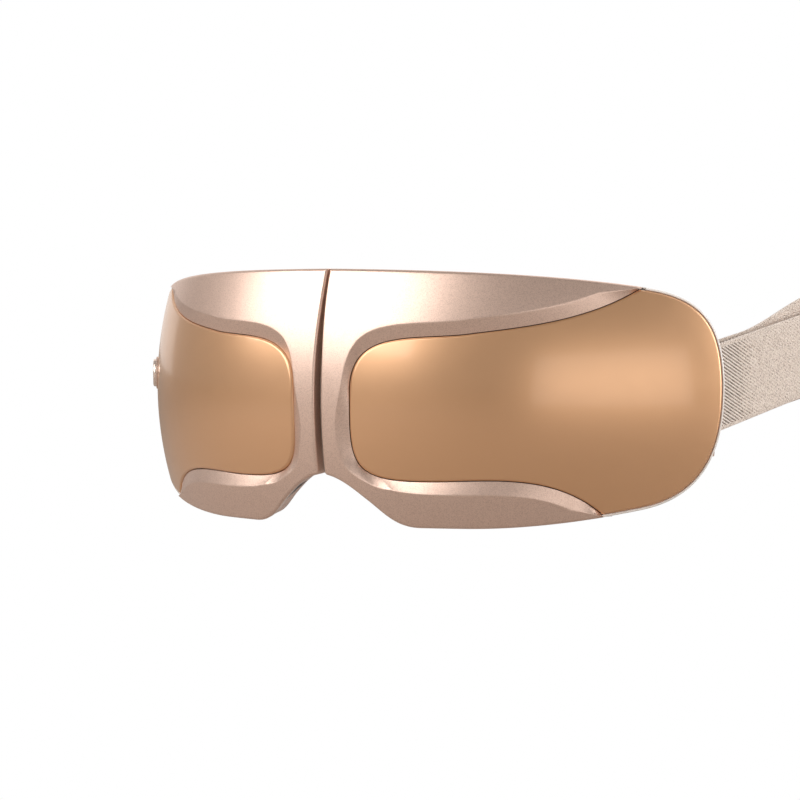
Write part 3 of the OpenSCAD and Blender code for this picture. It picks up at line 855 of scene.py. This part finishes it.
def eye_pad():
    """Knitted panel over the airbag: a shallow dome with two sewn rings."""
    a = np.linspace(0, 2 * math.pi, 240, endpoint=False)
    rows = []
    for share in np.concatenate([[1.0, 0.995, 0.985, 0.97], np.linspace(0.94, 0.02, 34)]):
        at = eye_ring(a, share)
        lift = 0.4 + 2.3 * (1 - share ** 6)
        for seam_at in (0.78, 0.42):
            lift -= 1.0 * math.exp(-((share - seam_at) / 0.03) ** 2)
        rows.append(behind_wedge(at + inward(at, REAR_C) * lift))
    cols = len(a)
    faces = grid_faces(len(rows), cols, wrap_cols=True)
    faces.append(tuple((len(rows) - 1) * cols + j for j in range(cols)))
    base = eye_ring(a, 1.0)
    rows.append(base + inward(base, REAR_C) * 0.05)
    start = len(rows) - 1
    for j in range(cols):
        k = (j + 1) % cols
        faces.append((start * cols + j, start * cols + k, k, j))
    faces.append(tuple(start * cols + j for j in range(cols)))
    return add_mesh("eye_pad", to_row(np.vstack(rows)), faces, MAT["eye_fabric"], 60)


# ---------------------------------------------------------------- power button
BUTTON_TURN = math.radians(55)
BUTTON_OUT = Vector((-math.sin(BUTTON_TURN), -math.cos(BUTTON_TURN), 0))
BUTTON_AT = Vector((0, LENS_C - FACE_Y, 43.5 - MID_Z)) * MM + BUTTON_OUT * LENS_R * MM
BUTTON_HOLE_R = 5.5


def button_hole(shell):
    """Opens the left lens around the button's ring."""
    bpy.ops.mesh.primitive_cylinder_add(vertices=96, radius=BUTTON_HOLE_R * MM, depth=12 * MM,
                                        location=BUTTON_AT,
                                        rotation=BUTTON_OUT.to_track_quat("Z", "Y").to_euler())
    cutter = bpy.context.object
    cut = shell.modifiers.new("button_hole", "BOOLEAN")
    cut.operation, cut.solver, cut.object = "DIFFERENCE", "EXACT", cutter
    bpy.context.view_layer.update()
    opened = bpy.data.meshes.new_from_object(shell.evaluated_get(bpy.context.evaluated_depsgraph_get()))
    shell.modifiers.remove(cut)
    shell.data = opened
    opened.set_sharp_from_angle(angle=math.radians(40))
    bpy.data.objects.remove(cutter)


def turned(profile, n=96):
    """Points of a profile of (radius, rise) pairs turned about the button's axis."""
    side, up = Vector((-BUTTON_OUT.y, BUTTON_OUT.x, 0)), Vector((0, 0, 1))
    verts = []
    for rad, rise in profile:
        for k in range(n):
            a = 2 * math.pi * k / n
            across = (side * math.cos(a) + up * math.sin(a)) * rad * MM
            verts.append(BUTTON_AT + BUTTON_OUT * rise * MM + across)
    return verts, n


def power_button():
    """Turned cap with a rolled edge and a shallow dish round a plain raised disc, in its ring."""
    r, h = 4.6, 1.4
    profile = [(0.0, h - 0.18), (1.0, h - 0.18), (1.25, h - 0.18), (1.4, h - 0.42), (1.8, h - 0.42),
               (1.95, h - 0.16), (3.3, h - 0.1), (3.6, h - 0.02), (3.8, h), (4.1, h - 0.04), (4.35, h - 0.16),
               (4.52, h - 0.36), (r, h - 0.62), (r, -0.9), (0.0, -0.9)]
    verts, n = turned(profile)
    faces = grid_faces(len(profile), n, wrap_cols=True)
    cap = add_mesh("power_button_cap", verts, faces, MAT["button_metal"], 45)
    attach(cap, "power_button")
    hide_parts("power_button")
    profile = [(4.68, -1.0), (4.68, 0.25), (4.78, 0.36), (5.15, 0.36), (5.35, 0.2), (5.38, -1.0)]
    verts, n = turned(profile)
    faces = grid_faces(len(profile), n, wrap_rows=True, wrap_cols=True)
    ring = add_mesh("button_bezel", verts, faces, MAT["frame_metal"], 45)
    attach(ring, "left_half")
    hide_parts("button_ring")


# ---------------------------------------------------------------- strap
STRAP_W, STRAP_T = 27.5, 1.6
BAR = np.array(JOINTS["strap_right_swing"]["pos_m"]) / MM + np.array([0, FACE_Y, MID_Z])
LOOP_MID = 2.7
CORNER_R, BACK_R, BACK_TURN, BACK_Y = 40.0, 195.0, math.radians(19), 230.0
CORNER = np.array([(BACK_R - CORNER_R) * math.sin(BACK_TURN),
                   BACK_Y - BACK_R + (BACK_R - CORNER_R) * math.cos(BACK_TURN)])
TO_BAR = BAR[:2] - CORNER
RUN_TURN = math.atan2(TO_BAR[1], TO_BAR[0]) + math.acos((CORNER_R - LOOP_MID) / math.hypot(*TO_BAR))
RUN_N = np.array([math.cos(RUN_TURN), math.sin(RUN_TURN)])
RUN_D = np.array([-math.sin(RUN_TURN), math.cos(RUN_TURN)])
RUN_START = BAR[:2] + LOOP_MID * RUN_N
RUN_LEN = math.sqrt(TO_BAR @ TO_BAR - (CORNER_R - LOOP_MID) ** 2)
CORNER_LEN = CORNER_R * (math.pi / 2 - BACK_TURN - RUN_TURN)
HALF_LEN = RUN_LEN + CORNER_LEN + BACK_R * BACK_TURN
CLIMB, LEVEL_LEN, BACK_DROP, BACK_SPAN, END_GAP = 0.13, 28.0, 22.0, 110.0, 0.7
SLIDER_S, SLIDER_LEN = 102.0, 15.0
RETURN_GAP, RETURN_LIFT, RETURN_LEVEL = 2.2, 5.5, 40.0
RIGHT_WRAP, LEFT_WRAP = 8.5, 14.0
UP = np.array([0, 0, 1.0])


def strap_at(s):
    """Centreline point and outward normal of the strap at arc length s from its bar."""
    over = min(max(s - RUN_LEN, 0), LEVEL_LEN)
    z = BAR[2] + CLIMB * (min(s, RUN_LEN) + over - over ** 2 / (2 * LEVEL_LEN))
    z -= BACK_DROP * (1 - float(smooth((HALF_LEN - s) / BACK_SPAN)))
    if s < RUN_LEN:
        p, n = RUN_START + s * RUN_D, RUN_N
    elif s < RUN_LEN + CORNER_LEN:
        a = RUN_TURN + (s - RUN_LEN) / CORNER_R
        n = np.array([math.cos(a), math.sin(a)])
        p = CORNER + CORNER_R * n
    else:
        a = math.pi / 2 - (HALF_LEN - s) / BACK_R
        n = np.array([math.cos(a), math.sin(a)])
        p = np.array([0, BACK_Y - BACK_R]) + BACK_R * n
    return np.array([p[0], p[1], z]), np.array([n[0], n[1], 0.0])


def section(width, thick):
    """Rounded flat section of webbing, thinner at its woven borders: (across, through) pairs."""
    half, t = width / 2, thick / 2
    top = [(-half, 0.0), (-half + 0.12, t * 0.55), (-half + 0.45, t * 0.8), (-half + 1.3, t * 0.82),
           (-half + 1.6, t)]
    top += [(q, t) for q in np.linspace(-half + 2.4, half - 2.4, 14)]
    top += [(-a, b) for a, b in reversed(top[:5])]
    return top + [(a, -b) for a, b in reversed(top[1:-1])]


def band(name, stations, width, thick):
    """Sweeps the webbing section along stations of (point, normal, up)."""
    shape = section(width, thick)
    verts, uv, run = [], [], 0.0
    for i, (p, n, up) in enumerate(stations):
        if i:
            run += float(np.linalg.norm(p - stations[i - 1][0]))
        for across, through in shape:
            verts.append(p + up * across + n * through)
            uv.append((run, across))
    cols = len(shape)
    faces = grid_faces(len(stations), cols, wrap_cols=True)
    faces.append(tuple(range(cols)))
    faces.append(tuple((len(stations) - 1) * cols + j for j in reversed(range(cols))))
    return add_mesh(name, to_row(np.array(verts)), faces, MAT["strap_webbing"], 60, uv)


def loop_stations(stop_turn):
    """Stations around the bar, ending on the outer side where the run begins."""
    out = []
    for a in np.linspace(stop_turn, 0, 30):
        turn = RUN_TURN - a
        n = np.array([math.cos(turn), math.sin(turn), 0])
        out.append((BAR + LOOP_MID * n, n, UP))
    return out


def strap_half(name, stop_turn):
    stations = loop_stations(stop_turn)
    for s in np.linspace(0.8, HALF_LEN - END_GAP, 190):
        p, n = strap_at(s)
        stations.append((p, n, UP))
    return band(name, stations, STRAP_W, STRAP_T)


def return_layer():
    """Inner layer from the bar back to the slider: the mesh, its length, and the ends of its stretch."""
    stations = []
    normal = np.array([RUN_N[0], RUN_N[1], 0])
    settle = SLIDER_S - SLIDER_LEN / 2
    for s in np.linspace(0.2, SLIDER_S + 5, 120):
        p, _ = strap_at(s)
        off = 2 * LOOP_MID + (RETURN_GAP - 2 * LOOP_MID) * float(smooth(s / settle))
        rise = RETURN_LIFT * float(smooth((s - RETURN_LEVEL) / (settle - RETURN_LEVEL)))
        tilt = 0.10 * float(smooth(s / RETURN_LEVEL)) * float(smooth((settle - s) / 14))
        up = UP - normal * tilt
        up /= np.linalg.norm(up)
        stations.append((p - normal * off + UP * rise, normal, up))
    length = sum(float(np.linalg.norm(b[0] - a[0])) for a, b in zip(stations, stations[1:]))
    start, end = (tuple(to_row(stations[i][0][None])[0]) for i in (2, -25))
    return band("strap_return_layer", stations, STRAP_W - 1, STRAP_T - 0.2), length, start, end


def straps():
    right = strap_half("strap_outer_right", math.radians(178))
    left = strap_half("strap_outer_left", math.radians(300))
    left.data.transform(Matrix.Scale(-1, 4, Vector((1, 0, 0))))
    left.data.flip_normals()
    for piece, node, wrap in ((right, "right", RIGHT_WRAP), (left, "left", LEFT_WRAP)):
        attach(piece, "strap_" + node)
        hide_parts("strap_" + node)
    inner, length, start, end = return_layer()
    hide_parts("strap_return")
    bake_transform(inner)


# ---------------------------------------------------------------- stage
def area(name, at, target, size, power, size_y=None):
    data = bpy.data.lights.new(name, "AREA")
    data.energy, data.size = power, size
    if size_y:
        data.shape, data.size_y = "RECTANGLE", size_y
    light = bpy.data.objects.new(name, data)
    light.location = at
    light.rotation_euler = (Vector(target) - Vector(at)).to_track_quat("-Z", "Y").to_euler()
    bpy.context.scene.collection.objects.link(light)


def show_white(tree, lit, output):
    """Shows a backdrop as white to the camera, while the object is lit by the backdrop's own shader."""
    white = tree.nodes.new("ShaderNodeEmission")
    path = tree.nodes.new("ShaderNodeLightPath")
    mix = tree.nodes.new("ShaderNodeMixShader")
    tree.links.new(path.outputs["Is Camera Ray"], mix.inputs[0])
    tree.links.new(lit.outputs[0], mix.inputs[1])
    tree.links.new(white.outputs[0], mix.inputs[2])
    tree.links.new(mix.outputs[0], output.inputs["Surface"])


def around(azimuth, elevation, distance, centre):
    """A point seen from centre at azimuth (0 is straight ahead of the lenses, + towards +X) and elevation."""
    a, e = math.radians(azimuth), math.radians(elevation)
    way = Vector((math.sin(a) * math.cos(e), -math.cos(a) * math.cos(e), math.sin(e)))
    return Vector(centre) + distance * way


def studio():
    centre = Vector((0, -0.02, 0.0))
    mesh = bpy.data.meshes.new("floor")
    half, low = 6.0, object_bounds()[0][2] - 0.06
    corners = [(-half, -half, low), (half, -half, low), (half, half, low), (-half, half, low)]
    mesh.from_pydata(corners, [], [(0, 1, 2, 3)])
    floor = bpy.data.objects.new("floor", mesh)
    bpy.context.scene.collection.objects.link(floor)
    paper = Nodes("floor_paper", (0.40, 0.36, 0.33), 0.95).material
    floor.data.materials.append(paper)
    nodes = paper.node_tree.nodes
    show_white(paper.node_tree, nodes["Principled BSDF"], nodes["Material Output"])
    floor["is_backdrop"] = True
    world = bpy.data.worlds.new("studio")
    bpy.context.scene.world = world
    world.use_nodes = True
    tree = world.node_tree
    room = tree.nodes["Background"]
    room.inputs["Color"].default_value = (1.0, 0.98, 0.965, 1)
    look = tree.nodes.new("ShaderNodeTexCoord")
    split = tree.nodes.new("ShaderNodeSeparateXYZ")
    wall = tree.nodes.new("ShaderNodeMapRange")
    wall.inputs["From Min"].default_value, wall.inputs["From Max"].default_value = 0.34, 0.40
    wall.inputs["To Min"].default_value, wall.inputs["To Max"].default_value = 0.31, 0.95
    tree.links.new(look.outputs["Generated"], split.inputs["Vector"])
    tree.links.new(split.outputs["Y"], wall.inputs["Value"])
    tree.links.new(wall.outputs["Result"], room.inputs["Strength"])
    show_white(tree, room, tree.nodes["World Output"])
    area("key", around(-33, 30, 1.1, centre), centre, 1.4, 12.5, size_y=0.74)
    area("side", around(64, -15, 1.2, centre), centre, 1.2, 6.5, size_y=1.2)
    area("wing", around(124, 10, 1.2, centre), centre, 0.8, 8.0)
    area("rear", around(180, 35, 1.3, centre), centre, 0.9, 1.5)


def camera():
    aim = Vector((20.8, 14.5 - FACE_Y, 38.5 - MID_Z)) * MM
    data = bpy.data.cameras.new("camera")
    cam = bpy.data.objects.new("camera", data)
    cam.location = around(31.4, 2.54, 0.95, aim)
    cam.rotation_euler = (aim - cam.location).to_track_quat("-Z", "Y").to_euler()
    data.sensor_width = 36.0
    data.lens = 140.6
    bpy.context.scene.collection.objects.link(cam)
    bpy.context.scene.camera = cam
    bpy.context.scene.view_settings.view_transform = "Standard"


# ---------------------------------------------------------------- build
camera()
finish_cad_nodes()
both_sides(front_frame(), "front_frame")
_, lens_left = both_sides(lens(), "lens")
button_hole(lens_left)
both_sides(edge_trim(), "edge_trim")
both_sides(housing(), "housing")
both_sides(rear_cover(), "rear_cover")
both_sides(face_cushion(), "face_cushion")
both_sides(eye_pad(), "eye_pad")
power_button()
straps()
studio()
